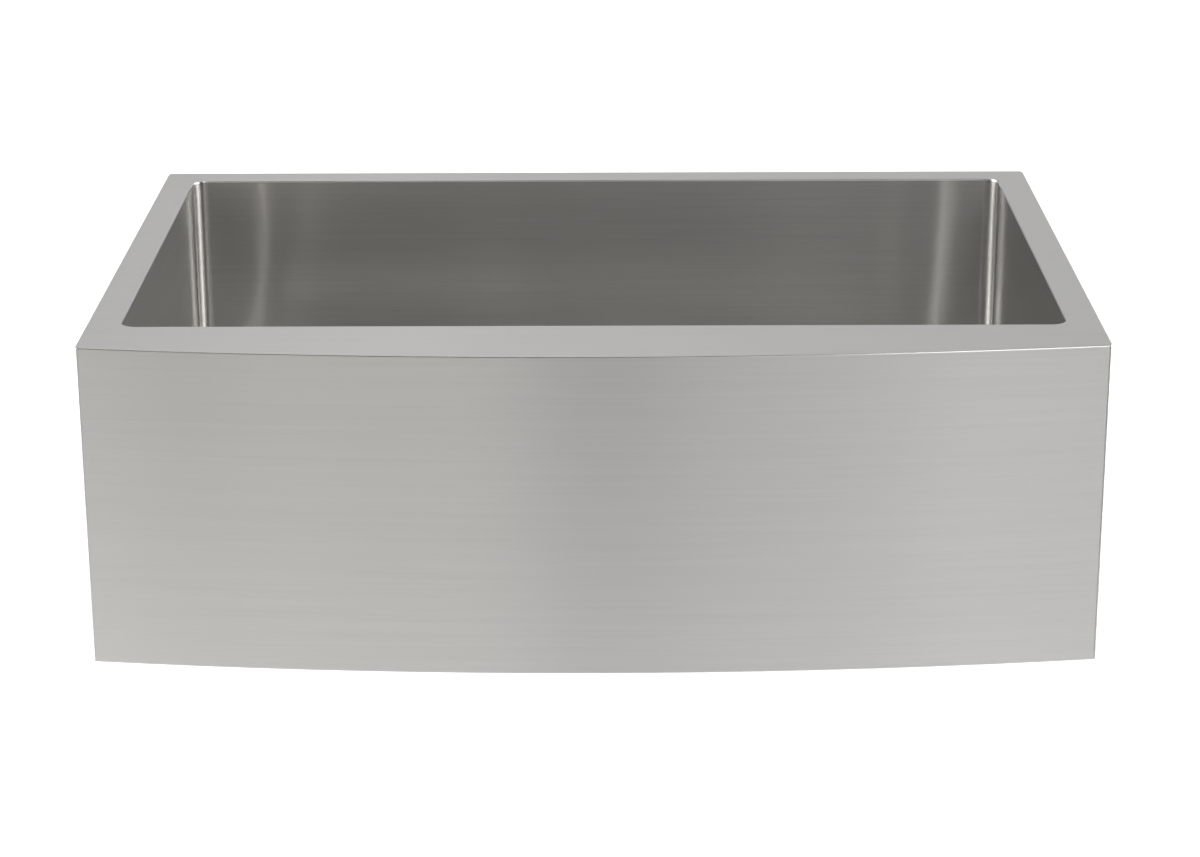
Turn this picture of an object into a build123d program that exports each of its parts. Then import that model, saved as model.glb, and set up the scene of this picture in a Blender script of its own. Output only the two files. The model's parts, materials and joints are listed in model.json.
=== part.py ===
"""Apron-front kitchen sink: bowed apron, single bowl, sound pads, basket strainer and tailpiece.

+X is right, the apron faces -Y and +Z is up. The origin is the centre of the rear flange's top face.
"""

import math
import os

from build123d import *

os.makedirs("parts", exist_ok=True)

# Sheet metal
sheet = 1.5
deck_width = 762.0
corner_depth = 518.0
bow = 25.0
apron_height = 250.0
side_flange = 26.0
rear_flange = 28.0
front_flange = 53.0
deck_corner_radius = 4.0
edge_radius = 1.2
apron_bend_radius = 3.0
apron_return = 75.0
return_lip = 12.0
base_flange = 30.0

# Bowl
bowl_depth = 235.0
corner_radius = 12.0
floor_radius_step = 2.0
floor_fall = 6.0
land_gap = 4.0
recess_depth = 3.0
recess_gap = 1.0
recess_side_angle = math.radians(45.0)
recess_edge_radius = 4.0
recess_foot_radius = 2.0
drain_from_rear = 164.0
drain_hole_radius = 44.5

# Sound pads
pad_thickness = 4.0
pad_corner_radius = 15.0
wall_pad_side_margin = 45.0
wall_pad_top = 35.0
wall_pad_bottom_margin = 30.0
floor_pad_margin = 28.0
floor_pad_gap = 14.0
drain_clearance = 85.0

# Strainer
strainer_flange_radius = 56.0
strainer_flange_thickness = 1.6
flange_bevel = 0.6
flange_dish = 0.7
seal_thickness = 1.0
seal_inset = 1.5
hole_clearance = 1.5
strainer_wall = 1.6
well_depth = 37.0
well_shoulder = 3.5
throat_fall = 10.0
throat_radius = 18.5
outlet_wall = 5.3
outlet_length = 32.0
spider_thickness = 3.0
spider_bar = 3.4
hub_radius = 7.0
hub_bore_radius = 4.0

# Fixing stack under the bowl
gasket_thickness = 3.0
friction_thickness = 1.5
locknut_height = 11.0
locknut_wall = 6.0
lug_length = 5.0
lug_width = 9.0
lug_count = 6

# Tailpiece and its coupling
tailpiece_radius = 19.05
tailpiece_wall = 1.0
tailpiece_flange_radius = 23.0
tailpiece_flange_thickness = 1.5
tailpiece_free_length = 60.0
tailpiece_washer_thickness = 2.0
coupling_across_flats = 57.0
coupling_sides = 8
coupling_thread_length = 14.0
coupling_lip = 2.5
coupling_lip_clearance = 1.0

# Basket
basket_sheet = 1.0
basket_drop = 3.0
basket_side_gap = 1.2
basket_rim_width = 2.9
basket_height = 24.0
basket_taper = 7.0
basket_hole_radius = 2.4
side_hole_count = 14
upper_row_depth = 9.0
lower_row_depth = 16.5
outer_ring_radius = 23.5
outer_ring_count = 14
inner_ring_radius = 15.0
inner_ring_count = 8
post_radius = 3.0
knob_radius = 8.0
knob_height = 10.0
knob_rise = 3.0
knob_chamfer = 1.0
scallop_radius = 4.0
scallop_count = 6
scallop_depth = 1.5

# Stopper and clip under the basket
stopper_radius = 27.0
stopper_lift = 0.3
stopper_edge = 2.3
stopper_neck_radius = 10.0
stopper_neck_height = 5.0
stopper_core = 9.0
stopper_washer_radius = 8.0
stopper_washer_thickness = 1.2
clip_radius = 3.7
clip_neck_radius = 2.6
clip_tip_radius = 2.2
clip_bulb_drop = 2.0
clip_tip_drop = 3.0
clip_slot = 1.2

# Derived plan positions
half_width = deck_width / 2
rear_y = rear_flange / 2
corner_y = rear_y - corner_depth
nose_y = corner_y - bow
bow_radius = (half_width**2 + bow**2) / (2 * bow)
bow_centre_y = nose_y + bow_radius
bowl_width = deck_width - 2 * side_flange
bowl_length = corner_depth - rear_flange - front_flange
bowl_back_y = rear_y - rear_flange
bowl_front_y = bowl_back_y - bowl_length
bowl_centre_y = (bowl_back_y + bowl_front_y) / 2
drain_y = bowl_back_y - drain_from_rear
return_y = corner_y + apron_return
base_back_y = corner_y + base_flange
floor_radius = corner_radius - floor_radius_step
half_floor_width = bowl_width / 2 - corner_radius
floor_back_y = bowl_back_y - corner_radius
floor_front_y = bowl_front_y + corner_radius

# Derived heights, from the floor down
floor_low_z = -bowl_depth - floor_fall
seat_z = floor_low_z - recess_depth
recess_radius = strainer_flange_radius + recess_gap
recess_rise = 2 * recess_depth
side_shift = math.tan(recess_side_angle / 2)
land_half = recess_radius + recess_depth + recess_edge_radius + land_gap
flange_under_z = seat_z + seal_thickness
flange_top_z = flange_under_z + strainer_flange_thickness
seat_under_z = seat_z - sheet
gasket_z = seat_under_z - gasket_thickness
friction_z = gasket_z - friction_thickness
locknut_z = friction_z - locknut_height
well_z = flange_under_z - well_depth
throat_z = well_z - throat_fall
sleeve_top_z = throat_z - strainer_wall
spider_z = sleeve_top_z - spider_thickness
outlet_z = throat_z - outlet_length
tailpiece_top_z = outlet_z - tailpiece_washer_thickness
coupling_lip_top_z = tailpiece_top_z - tailpiece_flange_thickness
coupling_z = coupling_lip_top_z - coupling_lip
tailpiece_z = coupling_z - tailpiece_free_length

# Derived radii of the strainer
thread_radius = drain_hole_radius - hole_clearance
well_radius = thread_radius - strainer_wall
seat_top_radius = well_radius - well_shoulder
outlet_radius = throat_radius + outlet_wall
seal_radius = strainer_flange_radius - seal_inset

# Derived heights of the basket
rim_z = flange_under_z - basket_drop
basket_floor_z = rim_z - basket_height
basket_under_z = basket_floor_z - basket_sheet
knob_z = rim_z + knob_rise - knob_height
stopper_slope = throat_fall / (seat_top_radius - throat_radius)
stopper_low_z = well_z - (seat_top_radius - stopper_radius) * stopper_slope + stopper_lift
stopper_core_z = basket_under_z - stopper_core
washer_under_z = stopper_core_z - stopper_washer_thickness
basket_rim_radius = well_radius - basket_side_gap
basket_top_radius = basket_rim_radius - basket_rim_width
basket_floor_radius = basket_top_radius - basket_taper


def bow_y(x, inset):
    """Y of the bowed front at x, with the front moved inwards by inset."""
    return bow_centre_y - math.sqrt((bow_radius - inset) ** 2 - x**2)


def bowed_outline(inset, back_y, bend_radius):
    """Plan outline with a bowed front, moved inwards by inset, and a straight back at back_y."""
    half = half_width - inset
    side_y = bow_y(half, inset)
    with BuildSketch() as outline:
        with BuildLine():
            Polyline((-half, side_y), (-half, back_y), (half, back_y), (half, side_y))
            ThreePointArc((half, side_y), (0, nose_y + inset), (-half, side_y))
        make_face()
        fillet(outline.vertices().group_by(Axis.Y)[0], bend_radius)
    return outline.sketch


def fallen_floor(skin):
    """Block under the bowl's floor rim; its four lower faces fall to a flat land round the drain."""
    rim_z = -bowl_depth - skin
    with BuildPart() as block:
        with BuildSketch(Plane.XY.offset(rim_z)):
            with Locations((0, bowl_centre_y)):
                Rectangle(2 * half_floor_width, floor_back_y - floor_front_y)
        extrude(amount=-floor_fall)
        for side in (-1, 1):
            side_run = half_floor_width - land_half
            facet = Plane((side * half_floor_width, 0, rim_z), z_dir=(side * floor_fall, 0, -side_run))
            split(bisect_by=facet, keep=Keep.BOTTOM)
        for edge_y in (floor_front_y, floor_back_y):
            edge_run = abs(edge_y - drain_y) - land_half
            fall = math.copysign(floor_fall, edge_y - drain_y)
            split(bisect_by=Plane((0, edge_y, rim_z), z_dir=(0, fall, -edge_run)), keep=Keep.BOTTOM)
    return block.part


def tub(skin):
    """Solid that fills the bowl and its drain recess, grown outwards by skin."""
    with BuildPart() as body:
        with BuildSketch(Plane.XY.offset(-sheet)):
            with Locations((0, bowl_centre_y)):
                RectangleRounded(bowl_width + 2 * skin, bowl_length + 2 * skin, corner_radius + skin)
        extrude(amount=sheet - bowl_depth - skin)
        fillet(body.faces().sort_by(Axis.Z)[0].edges(), floor_radius + skin)
        add(fallen_floor(skin))
        with Locations((0, drain_y, seat_z - skin)):
            Cone(
                recess_radius + skin * side_shift,
                recess_radius + skin * side_shift + recess_rise / math.tan(recess_side_angle),
                recess_rise,
                align=(Align.CENTER, Align.CENTER, Align.MIN),
            )
        if skin < recess_edge_radius:
            foot, mouth = (
                body.faces().filter_by(GeomType.CONE).edges().filter_by(GeomType.CIRCLE).sort_by(Axis.Z)
            )
            fillet(mouth, recess_edge_radius - skin)
            fillet(foot, recess_foot_radius + skin)
    return body.part


def turned(*profile):
    """Solid turned about the drain's axis from a closed profile of (radius, height) points."""
    with BuildPart() as body:
        with BuildSketch(Plane((0, drain_y, 0), x_dir=(1, 0, 0), z_dir=(0, -1, 0))):
            with BuildLine():
                Polyline(*profile, close=True)
            make_face()
        revolve(axis=Axis((0, drain_y, 0), (0, 0, 1)))
    return body.part


def ring(inner, outer, low_z, high_z):
    """Plain ring about the drain's axis."""
    return turned((inner, low_z), (outer, low_z), (outer, high_z), (inner, high_z))


bowl_inside = tub(0)
bowl_outside = tub(sheet)
pad_outside = tub(sheet + pad_thickness)

# Bowl: four walls and a floor creased towards the drain
with BuildPart() as bowl:
    add(bowl_outside)
    add(bowl_inside, mode=Mode.SUBTRACT)
    with Locations((0, drain_y, seat_z)):
        Cylinder(drain_hole_radius, 4 * sheet, mode=Mode.SUBTRACT)
bowl.part.label = "bowl"
export_step(bowl.part, "parts/bowl.step")

# Deck: the flange round the bowl, with the bowed front edge
with BuildPart() as deck:
    with BuildSketch(Plane.XY.offset(-sheet)) as deck_plan:
        add(bowed_outline(0, rear_y, apron_bend_radius))
        fillet(deck_plan.vertices().group_by(Axis.Y)[-1], deck_corner_radius)
        with Locations((0, bowl_centre_y)):
            RectangleRounded(bowl_width, bowl_length, corner_radius, mode=Mode.SUBTRACT)
    extrude(amount=sheet)
    fillet(deck.faces().sort_by(Axis.Z)[-1].edges(), edge_radius)
deck.part.label = "deck"
export_step(deck.part, "parts/deck.step")

# Apron: bowed front panel with side returns that end in inward lips
with BuildPart() as apron:
    with BuildSketch(Plane.XY.offset(-apron_height)):
        add(bowed_outline(0, return_y, apron_bend_radius))
    extrude(amount=apron_height - sheet)
    fillet(apron.faces().sort_by(Axis.Z)[0].edges().sort_by(Axis.Y)[:-1], edge_radius)
    with BuildSketch(Plane.XY.offset(-apron_height)):
        add(bowed_outline(sheet, return_y, apron_bend_radius - sheet))
    extrude(amount=apron_height - sheet, mode=Mode.SUBTRACT)
    with BuildSketch(Plane.XY.offset(-apron_height + edge_radius)):
        with Locations((-half_width, return_y)):
            Rectangle(return_lip, sheet, align=(Align.MIN, Align.MAX))
        with Locations((half_width, return_y)):
            Rectangle(return_lip, sheet, align=(Align.MAX, Align.MAX))
    extrude(amount=apron_height - edge_radius - sheet)
apron.part.label = "apron"
export_step(apron.part, "parts/apron.step")

# Bottom flange that stiffens the apron's lower edge, with a turned-up lip
with BuildPart() as apron_base:
    with BuildSketch(Plane.XY.offset(-apron_height)):
        add(bowed_outline(sheet, base_back_y, apron_bend_radius - sheet))
    extrude(amount=sheet)
    with BuildSketch(Plane.XY.offset(-apron_height)):
        with Locations((0, base_back_y)):
            Rectangle(deck_width - 2 * sheet, sheet, align=(Align.CENTER, Align.MAX))
    extrude(amount=return_lip)
apron_base.part.label = "apron_base"
export_step(apron_base.part, "parts/apron_base.step")

# Wall pads: flat rubber sheets on the outside of the four bowl walls
wall_pad_height = bowl_depth - wall_pad_top - wall_pad_bottom_margin
back_pad_width = bowl_width - 2 * wall_pad_side_margin
side_pad_width = bowl_length - 2 * wall_pad_side_margin
wall_pad_z = -wall_pad_top - wall_pad_height / 2


def wall_pad(wall_plane, width):
    """Rubber sheet on a wall's outer face; the plane looks out of the wall at the pad's centre."""
    with BuildPart() as pad:
        with BuildSketch(wall_plane):
            RectangleRounded(width, wall_pad_height, pad_corner_radius)
        extrude(amount=pad_thickness)
    return pad.part


with BuildPart() as pad_back:
    pad_back_origin = (0, bowl_back_y + sheet, wall_pad_z)
    add(wall_pad(Plane(pad_back_origin, x_dir=(-1, 0, 0), z_dir=(0, 1, 0)), back_pad_width))
pad_back.part.label = "pad_back"
export_step(pad_back.part, "parts/pad_back.step")

with BuildPart() as pad_front:
    pad_front_origin = (0, bowl_front_y - sheet, wall_pad_z)
    add(wall_pad(Plane(pad_front_origin, x_dir=(1, 0, 0), z_dir=(0, -1, 0)), back_pad_width))
pad_front.part.label = "pad_front"
export_step(pad_front.part, "parts/pad_front.step")

with BuildPart() as pad_left:
    pad_left_origin = (-bowl_width / 2 - sheet, bowl_centre_y, wall_pad_z)
    add(wall_pad(Plane(pad_left_origin, x_dir=(0, -1, 0), z_dir=(-1, 0, 0)), side_pad_width))
pad_left.part.label = "pad_left"
export_step(pad_left.part, "parts/pad_left.step")

with BuildPart() as pad_right:
    pad_right_origin = (bowl_width / 2 + sheet, bowl_centre_y, wall_pad_z)
    add(wall_pad(Plane(pad_right_origin, x_dir=(0, 1, 0), z_dir=(1, 0, 0)), side_pad_width))
pad_right.part.label = "pad_right"
export_step(pad_right.part, "parts/pad_right.step")

# Apron pad: a rubber sheet bent to the back of the bowed panel
with BuildPart() as pad_apron:
    pad_half = back_pad_width / 2
    pad_front_y = bow_y(pad_half, sheet)
    pad_rear_y = bow_y(pad_half, sheet + pad_thickness)
    with BuildSketch(Plane.XY.offset(-wall_pad_top - wall_pad_height)):
        with BuildLine():
            ThreePointArc((-pad_half, pad_front_y), (0, nose_y + sheet), (pad_half, pad_front_y))
            Line((pad_half, pad_front_y), (pad_half, pad_rear_y))
            ThreePointArc(
                (pad_half, pad_rear_y),
                (0, nose_y + sheet + pad_thickness),
                (-pad_half, pad_rear_y),
            )
            Line((-pad_half, pad_rear_y), (-pad_half, pad_front_y))
        make_face()
    extrude(amount=wall_pad_height)
pad_apron.part.label = "pad_apron"
export_step(pad_apron.part, "parts/pad_apron.step")

# Floor pads: rubber sheets that follow the floor's fall, clear of the drain
floor_pad_left_x = -bowl_width / 2 + floor_pad_margin
floor_pad_rear_y = bowl_back_y - floor_pad_margin
floor_pad_front_y = bowl_front_y + floor_pad_margin
floor_pad_split_y = drain_y - drain_clearance
side_pad_inner_x = -drain_clearance


def floor_pad(left_x, right_x, front_y, back_y):
    """Rubber sheet on the floor's underside between two X and two Y positions."""
    with BuildPart() as pad:
        with BuildSketch(Plane.XY.offset(seat_z - sheet - pad_thickness)):
            with Locations(((left_x + right_x) / 2, (front_y + back_y) / 2)):
                RectangleRounded(right_x - left_x, back_y - front_y, pad_corner_radius)
        extrude(amount=recess_depth + floor_fall + 2 * pad_thickness)
        add(pad_outside, mode=Mode.INTERSECT)
        add(bowl_outside, mode=Mode.SUBTRACT)
    return pad.part


with BuildPart() as pad_floor_left:
    add(floor_pad(floor_pad_left_x, side_pad_inner_x, floor_pad_split_y, floor_pad_rear_y))
pad_floor_left.part.label = "pad_floor_left"
export_step(pad_floor_left.part, "parts/pad_floor_left.step")

with BuildPart() as pad_floor_right:
    add(floor_pad(-side_pad_inner_x, -floor_pad_left_x, floor_pad_split_y, floor_pad_rear_y))
pad_floor_right.part.label = "pad_floor_right"
export_step(pad_floor_right.part, "parts/pad_floor_right.step")

with BuildPart() as pad_floor_front:
    front_pad_back_y = floor_pad_split_y - floor_pad_gap
    add(floor_pad(floor_pad_left_x, -floor_pad_left_x, floor_pad_front_y, front_pad_back_y))
pad_floor_front.part.label = "pad_floor_front"
export_step(pad_floor_front.part, "parts/pad_floor_front.step")

# Seal between the recess and the strainer's flange
with BuildPart() as flange_seal:
    add(ring(drain_hole_radius, seal_radius, seat_z, flange_under_z))
flange_seal.part.label = "flange_seal"
export_step(flange_seal.part, "parts/flange_seal.step")

# Strainer body: flange, well and the cone seat for the stopper
with BuildPart() as strainer_body:
    add(
        turned(
            (strainer_flange_radius, flange_under_z),
            (strainer_flange_radius, flange_top_z - flange_bevel),
            (strainer_flange_radius - flange_bevel, flange_top_z),
            (thread_radius + flange_dish, flange_top_z - flange_dish),
            (well_radius, flange_under_z - flange_dish),
            (well_radius, well_z + well_shoulder),
            (seat_top_radius, well_z),
            (throat_radius, throat_z),
            (throat_radius, sleeve_top_z),
            (outlet_radius, sleeve_top_z),
            (thread_radius - well_shoulder, well_z - strainer_wall),
            (thread_radius, well_z + well_shoulder - strainer_wall),
            (thread_radius, flange_under_z),
        )
    )
strainer_body.part.label = "strainer_body"
export_step(strainer_body.part, "parts/strainer_body.step")

# Outlet sleeve welded under the body, with the spider and hub that hold the basket's clip
with BuildPart() as strainer_outlet:
    add(ring(throat_radius, outlet_radius, outlet_z, sleeve_top_z))
    with Locations((0, drain_y, spider_z + spider_thickness / 2)):
        Box(2 * throat_radius + strainer_wall, spider_bar, spider_thickness)
        Box(spider_bar, 2 * throat_radius + strainer_wall, spider_thickness)
        Cylinder(hub_radius, spider_thickness)
        Cylinder(hub_bore_radius, 2 * spider_thickness, mode=Mode.SUBTRACT)
strainer_outlet.part.label = "strainer_outlet"
export_step(strainer_outlet.part, "parts/strainer_outlet.step")

# Rubber gasket, friction washer and locknut that clamp the strainer from below
with BuildPart() as rubber_gasket:
    add(ring(thread_radius, seal_radius, gasket_z, seat_under_z))
rubber_gasket.part.label = "rubber_gasket"
export_step(rubber_gasket.part, "parts/rubber_gasket.step")

with BuildPart() as friction_washer:
    add(ring(thread_radius, seal_radius, friction_z, gasket_z))
friction_washer.part.label = "friction_washer"
export_step(friction_washer.part, "parts/friction_washer.step")

with BuildPart() as locknut:
    add(ring(thread_radius, thread_radius + locknut_wall, locknut_z, friction_z))
    with Locations((0, drain_y, locknut_z)):
        with PolarLocations(thread_radius + locknut_wall / 2, lug_count):
            Box(
                locknut_wall / 2 + lug_length,
                lug_width,
                locknut_height,
                align=(Align.MIN, Align.CENTER, Align.MIN),
            )
locknut.part.label = "locknut"
export_step(locknut.part, "parts/locknut.step")

# Tailpiece hung under the outlet by its coupling nut
with BuildPart() as tailpiece_washer:
    add(ring(throat_radius, tailpiece_flange_radius, tailpiece_top_z, outlet_z))
tailpiece_washer.part.label = "tailpiece_washer"
export_step(tailpiece_washer.part, "parts/tailpiece_washer.step")

with BuildPart() as tailpiece:
    tailpiece_bore = tailpiece_radius - tailpiece_wall
    add(
        turned(
            (tailpiece_bore, tailpiece_z),
            (tailpiece_radius, tailpiece_z),
            (tailpiece_radius, coupling_lip_top_z),
            (tailpiece_flange_radius, coupling_lip_top_z),
            (tailpiece_flange_radius, tailpiece_top_z),
            (tailpiece_bore, tailpiece_top_z),
        )
    )
tailpiece.part.label = "tailpiece"
export_step(tailpiece.part, "parts/tailpiece.step")

with BuildPart() as coupling_nut:
    with BuildSketch(Plane.XY.offset(coupling_z)):
        with Locations((0, drain_y)):
            RegularPolygon(coupling_across_flats / 2, coupling_sides, major_radius=False)
            Circle(tailpiece_radius + coupling_lip_clearance, mode=Mode.SUBTRACT)
    extrude(amount=outlet_z + coupling_thread_length - coupling_z)
    add(
        ring(0, outlet_radius, coupling_lip_top_z, outlet_z + coupling_thread_length),
        mode=Mode.SUBTRACT,
    )
coupling_nut.part.label = "coupling_nut"
export_step(coupling_nut.part, "parts/coupling_nut.step")

# Basket: perforated cup that lifts out of the strainer
with BuildPart() as basket_cup:
    add(
        turned(
            (basket_rim_radius, rim_z),
            (basket_rim_radius, rim_z - basket_sheet),
            (basket_top_radius, rim_z - basket_sheet),
            (basket_floor_radius, basket_under_z),
            (post_radius, basket_under_z),
            (post_radius, basket_floor_z),
            (basket_floor_radius - basket_sheet, basket_floor_z),
            (basket_top_radius - basket_sheet, rim_z),
        )
    )
    side_radius = (basket_top_radius + basket_floor_radius) / 2
    for depth, row_angle in ((upper_row_depth, 0), (lower_row_depth, 180 / side_hole_count)):
        with Locations((0, drain_y, rim_z - depth)):
            with PolarLocations(side_radius, side_hole_count, start_angle=row_angle):
                Cylinder(
                    basket_hole_radius,
                    basket_taper + 4 * basket_sheet,
                    rotation=(0, 90, 0),
                    mode=Mode.SUBTRACT,
                )
    with Locations((0, drain_y, basket_floor_z)):
        with PolarLocations(outer_ring_radius, outer_ring_count):
            Cylinder(basket_hole_radius, 4 * basket_sheet, mode=Mode.SUBTRACT)
        with PolarLocations(inner_ring_radius, inner_ring_count):
            Cylinder(basket_hole_radius, 4 * basket_sheet, mode=Mode.SUBTRACT)
basket_cup.part.label = "basket_cup"
export_step(basket_cup.part, "parts/basket_cup.step")

with BuildPart() as basket_post:
    add(ring(0, post_radius, throat_z, knob_z))
basket_post.part.label = "basket_post"
export_step(basket_post.part, "parts/basket_post.step")

with BuildPart() as basket_knob:
    with BuildSketch(Plane.XY.offset(knob_z)):
        with Locations((0, drain_y)):
            Circle(knob_radius)
            with PolarLocations(knob_radius + scallop_radius - scallop_depth, scallop_count):
                Circle(scallop_radius, mode=Mode.SUBTRACT)
    extrude(amount=knob_height)
    chamfer(basket_knob.faces().sort_by(Axis.Z)[-1].edges(), knob_chamfer)
basket_knob.part.label = "basket_knob"
export_step(basket_knob.part, "parts/basket_knob.step")

# Rubber stopper that closes the cone seat, its washer and the clip that holds in the spider
with BuildPart() as stopper:
    add(
        turned(
            (post_radius, basket_under_z),
            (stopper_neck_radius, basket_under_z),
            (stopper_neck_radius, basket_under_z - stopper_neck_height),
            (stopper_radius, stopper_low_z + stopper_edge),
            (stopper_radius, stopper_low_z),
            (stopper_neck_radius, stopper_core_z),
            (post_radius, stopper_core_z),
        )
    )
stopper.part.label = "stopper"
export_step(stopper.part, "parts/stopper.step")

with BuildPart() as stopper_washer:
    add(ring(post_radius, stopper_washer_radius, washer_under_z, stopper_core_z))
stopper_washer.part.label = "stopper_washer"
export_step(stopper_washer.part, "parts/stopper_washer.step")

with BuildPart() as post_clip:
    clip_bulb_z = spider_z - clip_bulb_drop
    clip_tip_z = clip_bulb_z - clip_tip_drop
    add(
        turned(
            (0, throat_z),
            (post_radius, throat_z),
            (clip_neck_radius, spider_z),
            (clip_radius, clip_bulb_z),
            (clip_tip_radius, clip_tip_z),
            (0, clip_tip_z),
        )
    )
    with Locations((0, drain_y, clip_tip_z)):
        Box(
            2 * hub_bore_radius,
            clip_slot,
            throat_z - clip_tip_z - clip_slot,
            align=(Align.CENTER, Align.CENTER, Align.MIN),
            mode=Mode.SUBTRACT,
        )
post_clip.part.label = "post_clip"
export_step(post_clip.part, "parts/post_clip.step")
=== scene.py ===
import json
import math

import bpy
from mathutils import Matrix, Vector


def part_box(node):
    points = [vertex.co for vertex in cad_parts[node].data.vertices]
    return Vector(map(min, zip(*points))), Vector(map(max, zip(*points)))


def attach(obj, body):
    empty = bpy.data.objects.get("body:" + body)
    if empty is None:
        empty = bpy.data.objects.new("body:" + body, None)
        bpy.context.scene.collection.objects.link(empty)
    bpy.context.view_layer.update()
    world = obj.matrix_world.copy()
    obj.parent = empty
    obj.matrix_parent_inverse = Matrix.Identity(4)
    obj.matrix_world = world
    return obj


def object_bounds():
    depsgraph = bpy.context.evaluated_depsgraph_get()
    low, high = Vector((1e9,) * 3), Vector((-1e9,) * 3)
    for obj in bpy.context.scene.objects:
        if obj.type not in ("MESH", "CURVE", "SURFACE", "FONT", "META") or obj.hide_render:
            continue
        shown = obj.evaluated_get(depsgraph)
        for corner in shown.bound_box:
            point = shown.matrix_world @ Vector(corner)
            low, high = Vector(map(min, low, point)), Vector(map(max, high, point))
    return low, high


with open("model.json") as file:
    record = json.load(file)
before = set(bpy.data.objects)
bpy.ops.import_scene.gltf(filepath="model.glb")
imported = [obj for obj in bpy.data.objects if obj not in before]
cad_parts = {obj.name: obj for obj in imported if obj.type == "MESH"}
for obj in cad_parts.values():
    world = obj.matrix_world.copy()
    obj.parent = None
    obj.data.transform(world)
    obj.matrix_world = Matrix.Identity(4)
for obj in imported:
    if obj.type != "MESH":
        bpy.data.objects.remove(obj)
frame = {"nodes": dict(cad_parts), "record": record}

# Apron-front sink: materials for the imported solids, the strainer's two threads, a plain studio and the
# photograph's camera. Lengths are metres in the frame of the solids.

scene = bpy.context.scene
nodes = frame["nodes"]
cad_low, cad_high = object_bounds()

# The drain's axis, from the tube that hangs on it, and a point inside the bowl
tube_low, tube_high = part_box("tailpiece")
drain_x = (tube_low.x + tube_high.x) / 2
drain_y = (tube_low.y + tube_high.y) / 2
inside_bowl = (drain_x, drain_y, -0.1)


# ---------------------------------------------------------------- node trees
class Tree:
    """Short calls for building a node tree."""

    def __init__(self, tree):
        self.tree = tree

    def node(self, kind, **values):
        """Add a node; each value goes to the attribute or else the input of that name."""
        made = self.tree.nodes.new("ShaderNode" + kind)
        for key, value in values.items():
            if hasattr(made, key) and key not in made.inputs:
                setattr(made, key, value)
            else:
                made.inputs[key].default_value = value
        return made

    def link(self, start, end):
        self.tree.links.new(start, end)

    def feed(self, socket, value):
        """Give a socket a constant, or link it to another node's output."""
        if isinstance(value, bpy.types.NodeSocket):
            self.link(value, socket)
        else:
            socket.default_value = value

    def math(self, operation, a, b=None, clamp=False):
        made = self.node("Math", operation=operation, use_clamp=clamp)
        self.feed(made.inputs[0], a)
        if b is not None:
            self.feed(made.inputs[1], b)
        return made.outputs[0]

    def weighted(self, *parts):
        """Sum of sockets, each times its weight."""
        total = None
        for value, weight in parts:
            part = self.math("MULTIPLY", value, weight)
            total = part if total is None else self.math("ADD", total, part)
        return total

    def vector_math(self, operation, a, b=None):
        """A number for a length or a dot product, a vector for anything else."""
        made = self.node("VectorMath", operation=operation)
        self.feed(made.inputs[0], a)
        if b is not None:
            self.feed(made.inputs["Scale" if operation == "SCALE" else 1], b)
        return made.outputs["Value" if operation in ("LENGTH", "DOT_PRODUCT") else "Vector"]

    def split(self, vector):
        made = self.node("SeparateXYZ")
        self.link(vector, made.inputs[0])
        return made.outputs

    def place(self):
        """Place on the object, in metres."""
        return self.node("TexCoord").outputs["Object"]

    def spread(self, value, low, high, out_low=0.0, out_high=1.0, smooth=False):
        """Map the range low to high on to out_low to out_high."""
        made = self.node("MapRange", interpolation_type="SMOOTHSTEP" if smooth else "LINEAR")
        self.link(value, made.inputs["Value"])
        limits = {"From Min": low, "From Max": high, "To Min": out_low, "To Max": out_high}
        for key, number in limits.items():
            made.inputs[key].default_value = number
        return made.outputs["Result"]

    def noise(self, stretch=(1, 1, 1), scale=1.0, detail=2.0, roughness=0.5, offset=(0, 0, 0), vector=None):
        mapping = self.node("Mapping")
        mapping.inputs["Scale"].default_value = stretch
        mapping.inputs["Location"].default_value = offset
        self.link(self.place() if vector is None else vector, mapping.inputs["Vector"])
        made = self.node("TexNoise", Scale=scale, Detail=detail, Roughness=roughness)
        self.link(mapping.outputs["Vector"], made.inputs["Vector"])
        return made.outputs["Fac"]

    def mix(self, factor, a, b):
        made = self.node("Mix", data_type="FLOAT")
        self.link(factor, made.inputs[0])
        self.feed(made.inputs[2], a)
        self.feed(made.inputs[3], b)
        return made.outputs[0]

    def tint(self, factor, low, high):
        """Colour between low and high."""
        made = self.node("Mix", data_type="RGBA")
        self.link(factor, made.inputs[0])
        made.inputs[6].default_value = (*low, 1)
        made.inputs[7].default_value = (*high, 1)
        return made.outputs[2]

    def bump(self, height, depth, strength=1.0, under=None, invert=False):
        """Normal bent by a height that is depth metres deep, over the normal called under."""
        made = self.node("Bump", invert=invert, Strength=strength, Distance=depth)
        self.link(height, made.inputs["Height"])
        if under is not None:
            self.link(under, made.inputs["Normal"])
        return made.outputs["Normal"]


class Material(Tree):
    """A material with nothing in it but its output."""

    def __init__(self, name):
        self.material = bpy.data.materials.new(name)
        self.material.use_nodes = True
        super().__init__(self.material.node_tree)
        self.tree.nodes.clear()
        self.output = self.node("OutputMaterial")

    def principled(self, color, roughness, normal, metallic=0.0):
        made = self.node("BsdfPrincipled", Metallic=metallic)
        self.feed(made.inputs["Base Color"], color)
        self.feed(made.inputs["Roughness"], roughness)
        self.feed(made.inputs["Normal"], normal)
        return made

    def layer(self, amount, under, over):
        """Lay one shader over another."""
        made = self.node("MixShader")
        self.feed(made.inputs[0], amount)
        self.link(under, made.inputs[1])
        self.link(over, made.inputs[2])
        return made.outputs[0]

    def finish(self, shader):
        self.link(shader, self.output.inputs["Surface"])
        return self.material


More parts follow.
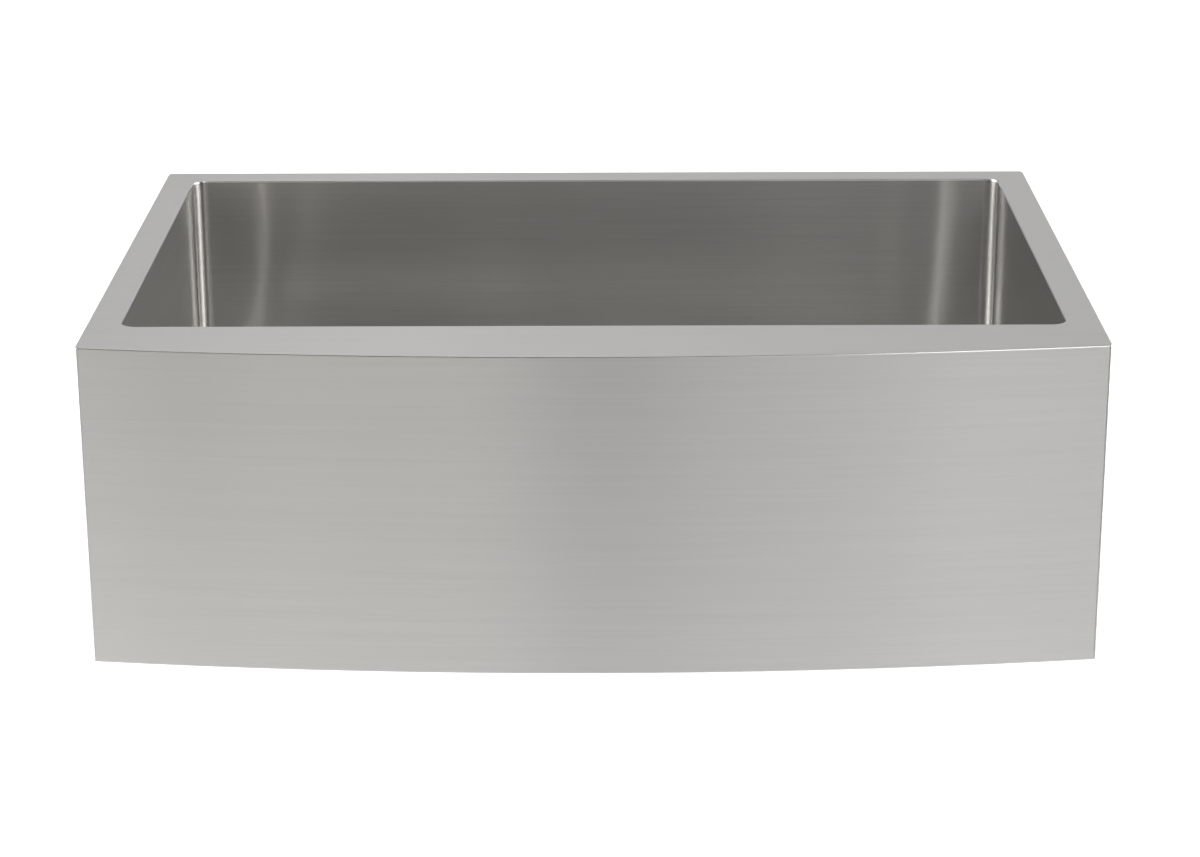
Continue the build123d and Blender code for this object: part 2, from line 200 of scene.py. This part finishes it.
# ---------------------------------------------------------------- brushed sheet steel
def brushed(t, base, rough, grain, groove, wave=0.0, flat_rough=0.0, haze=0.0):
    """Shader of steel brushed along the width; on upright walls the lines run level.

    grain scales the lines' contrast, groove their depth in tenths of a millimetre, and wave is the depth
    in metres of a slow sway in the sheet. flat_rough is added to the roughness of level faces. haze is
    the share of a second, duller shine.
    """
    facing = t.split(t.node("NewGeometry").outputs["Normal"])
    flatness = t.math("POWER", t.math("ABSOLUTE", facing["Z"]), 4.0)

    def streaks(along, across, detail, offset):
        """Noise with so many waves per metre along and across the brush lines."""
        upright = t.noise((along, along, across), detail=detail, offset=offset)
        level = t.noise((along, across, along), detail=detail, offset=offset)
        return t.mix(flatness, upright, level)

    lines = streaks(along=3.0, across=900.0, detail=3.0, offset=(0, 0, 0))
    hairs = streaks(along=7.0, across=300.0, detail=2.0, offset=(4, 9, 2))
    bands = streaks(along=1.6, across=90.0, detail=2.0, offset=(3, 1, 7))
    cloud = t.noise((3, 3, 3), offset=(1, 2, 3))

    contrast = 0.024 * grain
    darker = tuple(c * (1 - contrast) for c in base)
    lighter = tuple(min(1.0, c * (1 + contrast)) for c in base)
    shade = t.weighted((lines, 0.42), (hairs, 0.50), (bands, 0.08))
    color = t.tint(t.spread(shade, 0.36, 0.64), darker, lighter)

    uneven = t.weighted((lines, 0.01), (cloud, 0.02), (flatness, flat_rough))
    mean_uneven = 0.015  # of lines and cloud, so that rough is the mean on a wall
    roughness = t.math("ADD", uneven, rough - mean_uneven)

    sway = None
    if wave:
        swell = t.noise((2.5, 2.5, 4.0), detail=0.0, offset=(2, 6, 4))
        sway = t.bump(swell, wave, invert=True)
    normal = t.bump(lines, 0.0001 * groove, under=sway)

    across_lines = t.node("CombineXYZ", X=0.0, Y=0.02, Z=1.0).outputs[0]
    shine = t.principled(color, roughness, normal, metallic=1.0)
    shine.inputs["Anisotropic"].default_value = 1.0
    t.link(across_lines, shine.inputs["Tangent"])
    if not haze:
        return shine.outputs["BSDF"]
    veil = t.principled(color, 0.31, normal, metallic=1.0)
    veil.inputs["Anisotropic"].default_value = 0.8
    t.link(across_lines, veil.inputs["Tangent"])
    return t.layer(haze, shine.outputs["BSDF"], veil.outputs["BSDF"])


def undercoat(t):
    """Shader of a sprayed grey undercoat, and its mask: the bowl's outside, fading out under the flange."""
    geometry = t.node("NewGeometry")
    outward = t.vector_math("SUBTRACT", geometry.outputs["Position"], inside_bowl)
    side = t.vector_math("DOT_PRODUCT", geometry.outputs["True Normal"], outward)
    outside = t.spread(side, 0.0, 0.0005)
    mottle = t.noise(scale=260.0, detail=3.0)
    ragged_height = t.math("ADD", t.split(t.place())["Z"], t.math("MULTIPLY", mottle, 0.008))
    sprayed = t.spread(ragged_height, -0.0085, -0.0105)

    grit = t.noise(scale=900.0)
    clumps = t.noise(scale=130.0, detail=4.0, offset=(5, 3, 1))
    color = t.tint(clumps, (0.19, 0.195, 0.20), (0.27, 0.275, 0.28))
    roughness = t.spread(grit, 0.3, 0.7, 0.72, 0.9)
    normal = t.bump(t.math("ADD", t.math("MULTIPLY", grit, 0.6), clumps), 0.0004, strength=0.6)
    paint = t.principled(color, roughness, normal)
    return paint.outputs["BSDF"], t.math("MULTIPLY", outside, sprayed)


def sheet_steel():
    """Deck, apron and the apron's base: a satin brush."""
    t = Material("brushed_steel")
    return t.finish(brushed(t, (0.56, 0.555, 0.545), rough=0.28, grain=1.0, groove=0.06))


def bowl_steel():
    """The bowl: smoother and brighter inside, undercoated outside."""
    t = Material("bowl_steel")
    inside = brushed(
        t, (0.60, 0.592, 0.578), rough=0.12, grain=1.7, groove=0.1, wave=0.01, flat_rough=0.10, haze=0.34
    )
    paint, mask = undercoat(t)
    return t.finish(t.layer(mask, inside, paint))


# ---------------------------------------------------------------- the strainer's materials
def round_drain(t):
    """Vector of distance from the drain's axis and height, for marks that run round it."""
    away = t.vector_math("SUBTRACT", t.place(), (drain_x, drain_y, 0))
    plan = t.vector_math("MULTIPLY", away, (1, 1, 0))
    both = t.node("CombineXYZ")
    t.link(t.vector_math("LENGTH", plan), both.inputs["X"])
    t.link(t.split(away)["Z"], both.inputs["Y"])
    return both.outputs[0]


def turned_metal(name, base, rough, groove):
    """Metal polished on a lathe: fine rings round the drain's axis, with faint smears."""
    t = Material(name)
    rings = t.spread(t.noise(scale=1900.0, detail=3.0, vector=round_drain(t)), 0.3, 0.7)
    smears = t.noise(scale=70.0, detail=4.0, offset=(2, 5, 1))
    darker = tuple(c * 0.95 for c in base)
    lighter = tuple(min(1.0, c * 1.04) for c in base)
    color = t.tint(rings, darker, lighter)
    mean_uneven = 0.07  # of rings and smears, nearly
    roughness = t.math("ADD", t.weighted((rings, 0.05), (smears, 0.10)), rough - mean_uneven)
    normal = t.bump(rings, 0.0001, strength=groove)
    return t.finish(t.principled(color, roughness, normal, metallic=1.0).outputs["BSDF"])


def chrome_plate(name):
    """Mirror plating with a faint haze of dried water."""
    t = Material(name)
    haze = t.noise(scale=90.0, detail=5.0, roughness=0.6)
    drops = t.noise(scale=420.0, offset=(7, 1, 4))
    color = t.tint(haze, (0.70, 0.705, 0.715), (0.80, 0.80, 0.81))
    marks = t.math("MULTIPLY", t.spread(haze, 0.42, 0.62), t.spread(drops, 0.4, 0.7, 0.3, 1.0))
    roughness = t.spread(marks, 0.0, 1.0, 0.05, 0.15)
    normal = t.bump(haze, 0.0001, strength=0.1)
    return t.finish(t.principled(color, roughness, normal, metallic=1.0).outputs["BSDF"])


def cast_metal(name):
    """Cast brass: sand grain, dull tarnish in patches and turned faces."""
    t = Material(name)
    sand = t.noise(scale=1100.0, detail=3.0)
    tarnish = t.spread(t.noise(scale=110.0, detail=5.0, roughness=0.6), 0.4, 0.65)
    rings = t.noise(scale=1500.0, vector=round_drain(t))
    color = t.tint(tarnish, (0.62, 0.47, 0.23), (0.37, 0.25, 0.12))
    roughness = t.math("ADD", t.weighted((tarnish, 0.22), (sand, 0.12)), 0.24)
    normal = t.bump(t.math("ADD", sand, t.math("MULTIPLY", rings, 0.6)), 0.00015, strength=0.45)
    return t.finish(t.principled(color, roughness, normal, metallic=1.0).outputs["BSDF"])


def rubber(name, dark, light, dust):
    """Matt rubber: pitted skin with a thin film of dust that gathers in patches."""
    t = Material(name)
    skin = t.noise(scale=850.0, detail=3.0)
    pits = t.node("TexVoronoi", Scale=330.0)
    t.link(t.place(), pits.inputs["Vector"])
    hollows = t.spread(pits.outputs["Distance"], 0.0, 0.28)
    patches = t.noise(scale=14.0, detail=6.0, roughness=0.62)
    film = t.spread(patches, 0.42, 0.72, 0.0, dust)
    shade = t.math("ADD", film, t.math("MULTIPLY", skin, 0.25), clamp=True)
    color = t.tint(shade, dark, light)
    roughness = t.spread(shade, 0.0, 1.0, 0.58, 0.88)
    normal = t.bump(t.math("ADD", t.math("MULTIPLY", skin, 0.5), hollows), 0.0003, strength=0.5)
    return t.finish(t.principled(color, roughness, normal).outputs["BSDF"])


def pressed_fibre(name):
    """Brown pressed fibre with pale and dark flecks."""
    t = Material(name)
    flecks = t.noise((1, 1, 2.5), scale=1300.0, detail=4.0, roughness=0.7)
    cloud = t.noise(scale=160.0, detail=3.0)
    shade = t.spread(t.weighted((flecks, 0.7), (cloud, 0.3)), 0.35, 0.65)
    color = t.tint(shade, (0.25, 0.16, 0.09), (0.52, 0.39, 0.25))
    roughness = t.spread(flecks, 0.3, 0.7, 0.8, 0.95)
    normal = t.bump(flecks, 0.0002, strength=0.5)
    return t.finish(t.principled(color, roughness, normal).outputs["BSDF"])


def moulded_plastic(name):
    """Milky moulded plastic with faint flow marks."""
    t = Material(name)
    flow = t.noise((1, 1, 3), scale=120.0, detail=3.0)
    grain = t.noise(scale=1500.0)
    color = t.tint(flow, (0.66, 0.655, 0.63), (0.78, 0.775, 0.75))
    roughness = t.spread(flow, 0.3, 0.7, 0.32, 0.44)
    normal = t.bump(t.math("ADD", grain, flow), 0.0001, strength=0.25)
    return t.finish(t.principled(color, roughness, normal).outputs["BSDF"])


# ---------------------------------------------------------------- each solid's material
turned_steel = turned_metal("turned_steel", (0.60, 0.595, 0.585), rough=0.20, groove=0.5)
chrome = chrome_plate("chrome")
finish_of_slot = {
    "sheet_steel": sheet_steel(),
    "sound_pad": rubber("pad_rubber", (0.022, 0.022, 0.023), (0.10, 0.10, 0.098), dust=0.7),
    "seal_rubber": rubber("seal_rubber", (0.012, 0.012, 0.012), (0.035, 0.035, 0.034), dust=0.4),
    "strainer_steel": turned_steel,
    "washer_fibre": pressed_fibre("fibre"),
    "locknut_metal": cast_metal("cast_brass"),
    "washer_plastic": moulded_plastic("milky_plastic"),
    "tube_chrome": chrome,
    "basket_steel": turned_metal("basket_steel", (0.66, 0.655, 0.65), rough=0.13, groove=0.3),
    "basket_chrome": chrome,
    "stopper_rubber": rubber("stopper_rubber", (0.014, 0.014, 0.014), (0.04, 0.04, 0.039), dust=0.3),
}


def wear(obj, material):
    """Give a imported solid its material."""
    obj.data.materials.clear()
    obj.data.materials.append(material)


for entry in frame["record"]["subparts"]:
    wear(nodes[entry["node"]], finish_of_slot[entry["material_slot"]])
wear(nodes["bowl"], bowl_steel())


# ---------------------------------------------------------------- rolled threads of the strainer
def thread(name, radius, low_z, high_z, pitch, height):
    """Helical ridge round the drain's axis that fades in and out over its first and last half turn."""
    steps = 72  # per turn
    sunk = 0.0003  # how far the ridge's foot lies inside the tube
    foot, crest = 0.44, 0.12  # half widths, as shares of the pitch
    count = round((high_z - low_z - pitch) / pitch * steps)
    points, faces = [], []
    for i in range(count + 1):
        angle = math.tau * i / steps
        z = low_z + pitch * (0.5 + i / steps)
        rise = min(1.0, i / (steps / 2), (count - i) / (steps / 2))
        top = radius + height * (0.05 + 0.95 * math.sin(rise * math.pi / 2))
        for r, shift in ((radius - sunk, -foot), (top, -crest), (top, crest), (radius - sunk, foot)):
            points.append((drain_x + r * math.cos(angle), drain_y + r * math.sin(angle), z + shift * pitch))
        if i:
            a = 4 * (i - 1)
            b = 4 * i
            faces += [(a + k, a + (k + 1) % 4, b + (k + 1) % 4, b + k) for k in range(4)]
    faces += [(0, 3, 2, 1), tuple(4 * count + k for k in range(4))]
    mesh = bpy.data.meshes.new(name)
    mesh.from_pydata(points, [], faces)
    mesh.polygons.foreach_set("use_smooth", [True] * len(faces))
    mesh.set_sharp_from_angle(angle=math.radians(25))
    mesh.materials.append(turned_steel)
    made = bpy.data.objects.new(name, mesh)
    scene.collection.objects.link(made)
    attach(made, "sink")


nut_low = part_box("locknut")[0].z
thread("body_thread", 0.043, nut_low - 0.0125, nut_low - 0.0005, pitch=0.0023, height=0.0007)
coupling_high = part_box("coupling_nut")[1].z
thread("outlet_thread", 0.0238, coupling_high + 0.0004, coupling_high + 0.0104, pitch=0.0022, height=0.0007)


# ---------------------------------------------------------------- floor
def pale_floor(reach=14.0, gap=0.0005):
    """Pale floor that glows round the sink and fades out well in front of it, as the apron mirrors it."""
    z = cad_low.z - gap
    mesh = bpy.data.meshes.new("floor")
    corners = [(-reach, -reach, z), (reach, -reach, z), (reach, reach, z), (-reach, reach, z)]
    mesh.from_pydata(corners, [], [(0, 1, 2, 3)])
    floor = bpy.data.objects.new("floor", mesh)
    scene.collection.objects.link(floor)

    t = Material("floor_white")
    paint = t.node("BsdfPrincipled", Roughness=0.95)
    paint.inputs["Specular IOR Level"].default_value = 0.1
    paint.inputs["Base Color"].default_value = (0.28, 0.28, 0.28, 1)
    paint.inputs["Emission Color"].default_value = (1, 1, 1, 1)
    spot = t.split(t.place())
    brighter_left = t.spread(spot["X"], -0.5, 0.5, 0.69, 0.365)
    wide_glow = t.math("MULTIPLY", t.spread(spot["Y"], -1.6, -1.12), brighter_left)
    near_glow = t.spread(spot["Y"], -0.67, -0.57, 0.0, 0.58)
    t.link(t.math("ADD", wide_glow, near_glow), paint.inputs["Emission Strength"])
    mesh.materials.append(t.finish(paint.outputs["BSDF"]))


pale_floor()


# ---------------------------------------------------------------- studio light
class Studio(Tree):
    """World light: soft upright panels round a dark room."""

    def __init__(self):
        world = bpy.data.worlds.new("studio")
        scene.world = world
        world.use_nodes = True
        super().__init__(world.node_tree)
        direction = self.node("TexCoord").outputs["Generated"]
        self.height = self.split(direction)["Z"]
        self.heading = self.vector_math("NORMALIZE", self.vector_math("MULTIPLY", direction, (1, 1, 0)))
        self.light = None

    def panel(self, heading, half_width, low, high, gain, color):
        """Add a panel, in degrees: heading from the camera's side towards +X, low and high above level."""
        angle = math.radians(heading)
        facing = self.vector_math("DOT_PRODUCT", self.heading, (math.sin(angle), -math.cos(angle), 0))
        outer = math.cos(math.radians(half_width))
        inner = math.cos(math.radians(half_width * 0.45))
        foot = math.sin(math.radians(low))
        head = math.sin(math.radians(high))
        soft = 0.1  # half the height of the panel's faded foot and head
        shape = self.spread(facing, outer, inner, smooth=True)
        for dark, bright in ((foot - soft, foot + soft), (head + soft, head - soft)):
            shape = self.math("MULTIPLY", shape, self.spread(self.height, dark, bright, smooth=True))
        lit = self.vector_math("SCALE", tuple(gain * c for c in color), shape)
        self.light = lit if self.light is None else self.vector_math("ADD", self.light, lit)

    def finish(self):
        self.link(self.light, self.tree.nodes["Background"].inputs["Color"])


warm = (1.0, 0.965, 0.89)
plain = (1.0, 1.0, 1.0)
studio = Studio()
# Each panel: heading, half width, low, high, gain and colour.
# Low panels in front: the apron mirrors them, left to right
studio.panel(-28, 10, -10, 12, 2.55, warm)
studio.panel(-11.5, 10, -10, 12, 2.60, warm)
studio.panel(-2, 6, -10, 12, 0.60, plain)
studio.panel(8, 7, -10, 12, 1.05, plain)
studio.panel(20, 9, -10, 12, 0.60, plain)
# Higher panels in front: they reach the bowl's back wall, and the top edge of the apron at the right
studio.panel(0, 6, 10, 26, 1.45, plain)
studio.panel(11.5, 9, 10, 26, 2.70, plain)
studio.panel(26, 12, 12, 55, 3.70, plain)
# Panels at the sides: the bright upright streaks in the bowl
studio.panel(95, 35, -10, 22, 9.5, plain)
studio.panel(95, 35, 24, 55, 1.20, plain)
studio.panel(-95, 35, -10, 22, 8.0, plain)
studio.panel(-95, 35, 24, 55, 4.60, plain)
# Panels behind: the deck mirrors them
studio.panel(180, 40, 6, 22, 0.70, plain)
studio.panel(-148, 34, -10, 12, 0.20, plain)
studio.panel(148, 34, 13, 30, 0.60, plain)
studio.panel(165, 47, 32, 60, 1.00, plain)
studio.panel(174, 9, 32, 60, 0.28, plain)
studio.finish()


def softbox(name, place, size, power):
    """Rectangular light above the sink that points at its middle."""
    middle = Vector((0, -0.25, 0))
    data = bpy.data.lights.new(name, "AREA")
    data.shape = "RECTANGLE"
    data.size, data.size_y = size
    data.energy = power
    made = bpy.data.objects.new(name, data)
    scene.collection.objects.link(made)
    made.location = place
    made.rotation_mode = "QUATERNION"
    made.rotation_quaternion = (middle - Vector(place)).to_track_quat("-Z", "Y")


softbox("overhead", place=(-0.9, 0.9, 3.2), size=(3.0, 2.4), power=33)
softbox("overhead_right", place=(0.9, 0.2, 3.2), size=(2.0, 2.4), power=2.5)


# ---------------------------------------------------------------- camera
def photo_camera():
    """The camera that took the photograph, as solved from the sink's edges in it."""
    place = (0.01093, -2.64049, 0.67349)
    yaw = math.radians(0.168)
    pitch = math.radians(19.032)
    roll = math.radians(-0.209)
    focal_length = 3056.13  # in pixels
    photo_width = 1200

    right = Vector((math.cos(yaw), math.sin(yaw), 0))
    forward = Vector((-math.sin(yaw) * math.cos(pitch), math.cos(yaw) * math.cos(pitch), -math.sin(pitch)))
    up = right.cross(forward)
    rolled_right = math.cos(roll) * right + math.sin(roll) * up
    rolled_up = -math.sin(roll) * right + math.cos(roll) * up
    turn = Matrix((rolled_right, rolled_up, -forward)).transposed()

    data = bpy.data.cameras.new("camera")
    data.sensor_width = 36.0
    data.lens = focal_length / photo_width * data.sensor_width
    data.clip_start = 0.05
    data.clip_end = 60
    camera = bpy.data.objects.new("camera", data)
    scene.collection.objects.link(camera)
    camera.matrix_world = Matrix.Translation(place) @ turn.to_4x4()
    return camera


scene.camera = photo_camera()
scene.view_settings.view_transform = "Standard"
